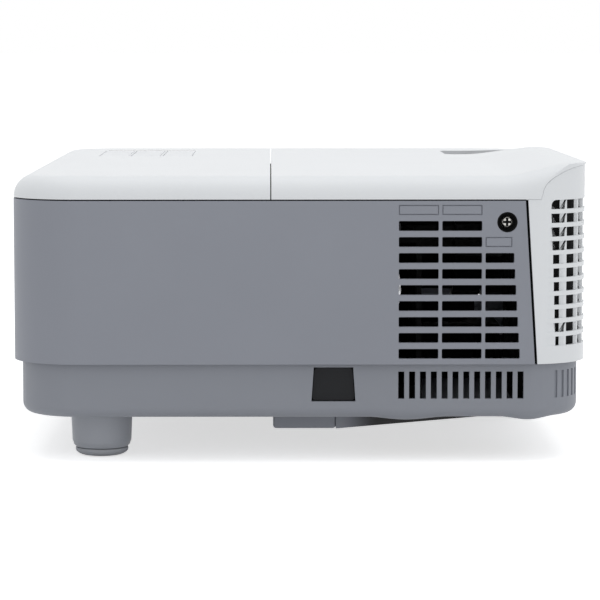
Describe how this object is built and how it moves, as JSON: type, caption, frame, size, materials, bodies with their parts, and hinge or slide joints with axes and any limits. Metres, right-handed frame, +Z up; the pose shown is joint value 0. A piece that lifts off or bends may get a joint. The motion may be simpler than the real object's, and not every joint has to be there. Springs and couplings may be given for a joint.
{
  "type": "desktop projector",
  "caption": "Low desktop projector with a white top, grey sides, side and front exhaust vents, a recessed lens with turning rings, a top keypad and screw feet.",
  "frame": {"origin": "middle of the footprint, on the plane that the feet stand on", "axes": "+X along the long side towards the lens, +Y from the front with the lens to the rear with the connectors, +Z up"},
  "size_m": [0.294, 0.218, 0.1129],
  "materials": {
    "white_shell": "fine satin grain",
    "grey_shell": "fine satin grain",
    "tub_grey": "fine satin grain",
    "foot_grey": "satin",
    "pad_rubber": "dull",
    "dark_plastic": "fine grain",
    "lens_black": "satin",
    "inner_black": "dull",
    "key_plastic": "satin",
    "handle_plastic": "satin",
    "board_green": "solder mask",
    "sink_metal": "satin",
    "screw_steel": "zinc plated",
    "port_metal": "plated",
    "clear_glass": "coated and polished",
    "wheel_glass": "colour coated",
    "reflector": "vapour coated",
    "jack_blue": "satin",
    "jack_yellow": "satin",
    "window_dark": "gloss"
  },
  "bodies": {
    "case": {"top_cover": "white_shell", "front_bezel": "white_shell", "middle_case": "grey_shell", "bottom_case": "tub_grey", "security_bar_cover": "dark_plastic", "connector_plate": "dark_plastic", "mains_inlet": "dark_plastic", "audio_out_jack": "dark_plastic", "audio_in_jack": "dark_plastic", "super_video_port": "dark_plastic", "lens_barrel": "lens_black", "engine_housing": "inner_black", "lamp_housing": "inner_black", "exhaust_fan_frame": "inner_black", "blower_housing": "inner_black", "loudspeaker": "inner_black", "main_board": "board_green", "power_board": "board_green", "connector_board": "board_green", "imager_board": "board_green", "keypad_board": "board_green", "imager_heat_sink": "sink_metal", "light_tunnel": "sink_metal", "colour_wheel_motor": "sink_metal", "serial_port": "port_metal", "front_lens": "clear_glass", "lamp_burner": "clear_glass", "lamp_reflector": "reflector", "computer_in_a": "jack_blue", "computer_in_b": "jack_blue", "computer_out": "jack_blue", "video_jack": "jack_yellow", "remote_sensor_window": "window_dark", "indicator_window": "window_dark"},
    "lamp_cover": {"lamp_cover": "white_shell"},
    "near_rear_foot": {"near_rear_foot": "foot_grey"},
    "far_rear_foot": {"far_rear_foot": "foot_grey"},
    "front_foot": {"front_foot": "foot_grey"},
    "near_rear_foot_pad": {"near_rear_foot_pad": "pad_rubber"},
    "far_rear_foot_pad": {"far_rear_foot_pad": "pad_rubber"},
    "front_foot_pad": {"front_foot_pad": "pad_rubber"},
    "zoom_ring": {"zoom_ring": "lens_black"},
    "focus_ring": {"focus_ring": "lens_black"},
    "exhaust_fan_rotor": {"exhaust_fan_rotor": "inner_black"},
    "blower_wheel": {"blower_wheel": "inner_black"},
    "menu_key": {"menu_key": "key_plastic"},
    "left_key": {"left_key": "key_plastic"},
    "source_key": {"source_key": "key_plastic"},
    "power_key": {"power_key": "key_plastic"},
    "down_key": {"down_key": "key_plastic"},
    "enter_key": {"enter_key": "key_plastic"},
    "up_key": {"up_key": "key_plastic"},
    "volume_up_key": {"volume_up_key": "key_plastic"},
    "auto_key": {"auto_key": "key_plastic"},
    "right_key": {"right_key": "key_plastic"},
    "keystone_key": {"keystone_key": "key_plastic"},
    "volume_down_key": {"volume_down_key": "key_plastic"},
    "lamp_handle": {"lamp_handle": "handle_plastic"},
    "lamp_cover_screw": {"lamp_cover_screw": "screw_steel"},
    "colour_wheel": {"colour_wheel": "wheel_glass"}
  },
  "joints": [
    {"name": "lamp_cover_lift", "type": "slide", "parent": "case", "child": "lamp_cover", "axis": [0, 0, 1], "range_m": [0, 0.06]},
    {"name": "lamp_cover_screw_turn", "type": "hinge", "parent": "case", "child": "lamp_cover_screw", "pos_m": [-0.1437, -0.0773, 0.0909], "axis": [1, 0, 0], "continuous": true},
    {"name": "zoom_ring_turn", "type": "hinge", "parent": "case", "child": "zoom_ring", "pos_m": [0.085, -0.071, 0.07], "axis": [0, 1, 0], "range_deg": [-20, 20]},
    {"name": "focus_ring_turn", "type": "hinge", "parent": "case", "child": "focus_ring", "pos_m": [0.085, -0.085, 0.07], "axis": [0, 1, 0], "range_deg": [-60, 60]},
    {"name": "near_rear_foot_travel", "type": "slide", "parent": "case", "child": "near_rear_foot_pad", "axis": [0, 0, -1], "range_m": [0, 0.01]},
    {"name": "near_rear_foot_turn", "type": "hinge", "parent": "near_rear_foot_pad", "child": "near_rear_foot", "pos_m": [-0.12, 0.076, 0.0033], "axis": [0, 0, -1], "range_deg": [0, 1800]},
    {"name": "far_rear_foot_travel", "type": "slide", "parent": "case", "child": "far_rear_foot_pad", "axis": [0, 0, -1], "range_m": [0, 0.01]},
    {"name": "far_rear_foot_turn", "type": "hinge", "parent": "far_rear_foot_pad", "child": "far_rear_foot", "pos_m": [0.12, 0.076, 0.0033], "axis": [0, 0, -1], "range_deg": [0, 1800]},
    {"name": "front_foot_travel", "type": "slide", "parent": "case", "child": "front_foot_pad", "axis": [0, 0, -1], "range_m": [0, 0.01]},
    {"name": "front_foot_turn", "type": "hinge", "parent": "front_foot_pad", "child": "front_foot", "pos_m": [-0.008, -0.0935, 0.0033], "axis": [0, 0, -1], "range_deg": [0, 1800]},
    {"name": "menu_key_press", "type": "slide", "parent": "case", "child": "menu_key", "axis": [0, 0, -1], "range_m": [0, 0.0006], "stiffness_N_per_m": 300, "springref_m": -0.002},
    {"name": "left_key_press", "type": "slide", "parent": "case", "child": "left_key", "axis": [0, 0, -1], "range_m": [0, 0.0006], "stiffness_N_per_m": 300, "springref_m": -0.002},
    {"name": "source_key_press", "type": "slide", "parent": "case", "child": "source_key", "axis": [0, 0, -1], "range_m": [0, 0.0006], "stiffness_N_per_m": 300, "springref_m": -0.002},
    {"name": "power_key_press", "type": "slide", "parent": "case", "child": "power_key", "axis": [0, 0, -1], "range_m": [0, 0.0006], "stiffness_N_per_m": 300, "springref_m": -0.002},
    {"name": "down_key_press", "type": "slide", "parent": "case", "child": "down_key", "axis": [0, 0, -1], "range_m": [0, 0.0006], "stiffness_N_per_m": 300, "springref_m": -0.002},
    {"name": "enter_key_press", "type": "slide", "parent": "case", "child": "enter_key", "axis": [0, 0, -1], "range_m": [0, 0.0006], "stiffness_N_per_m": 300, "springref_m": -0.002},
    {"name": "up_key_press", "type": "slide", "parent": "case", "child": "up_key", "axis": [0, 0, -1], "range_m": [0, 0.0006], "stiffness_N_per_m": 300, "springref_m": -0.002},
    {"name": "volume_up_key_press", "type": "slide", "parent": "case", "child": "volume_up_key", "axis": [0, 0, -1], "range_m": [0, 0.0006], "stiffness_N_per_m": 300, "springref_m": -0.002},
    {"name": "auto_key_press", "type": "slide", "parent": "case", "child": "auto_key", "axis": [0, 0, -1], "range_m": [0, 0.0006], "stiffness_N_per_m": 300, "springref_m": -0.002},
    {"name": "right_key_press", "type": "slide", "parent": "case", "child": "right_key", "axis": [0, 0, -1], "range_m": [0, 0.0006], "stiffness_N_per_m": 300, "springref_m": -0.002},
    {"name": "keystone_key_press", "type": "slide", "parent": "case", "child": "keystone_key", "axis": [0, 0, -1], "range_m": [0, 0.0006], "stiffness_N_per_m": 300, "springref_m": -0.002},
    {"name": "volume_down_key_press", "type": "slide", "parent": "case", "child": "volume_down_key", "axis": [0, 0, -1], "range_m": [0, 0.0006], "stiffness_N_per_m": 300, "springref_m": -0.002},
    {"name": "exhaust_fan_spin", "type": "hinge", "parent": "case", "child": "exhaust_fan_rotor", "pos_m": [-0.096, -0.096, 0.0547], "axis": [0, 1, 0], "continuous": true},
    {"name": "blower_wheel_spin", "type": "hinge", "parent": "case", "child": "blower_wheel", "pos_m": [-0.012, -0.0575, 0.0232], "axis": [0, 0, 1], "continuous": true},
    {"name": "colour_wheel_spin", "type": "hinge", "parent": "case", "child": "colour_wheel", "pos_m": [-0.042, -0.02, 0.0425], "axis": [1, 0, 0], "continuous": true},
    {"name": "lamp_handle_fold", "type": "hinge", "parent": "case", "child": "lamp_handle", "pos_m": [-0.0925, -0.02, 0.08542], "axis": [0, -1, 0], "range_deg": [0, 90]}
  ],
  "couplings": [
    {"joint": "near_rear_foot_turn", "follows": "near_rear_foot_travel", "rad_per_m": 3141.6},
    {"joint": "far_rear_foot_turn", "follows": "far_rear_foot_travel", "rad_per_m": 3141.6},
    {"joint": "front_foot_turn", "follows": "front_foot_travel", "rad_per_m": 3141.6}
  ]
}
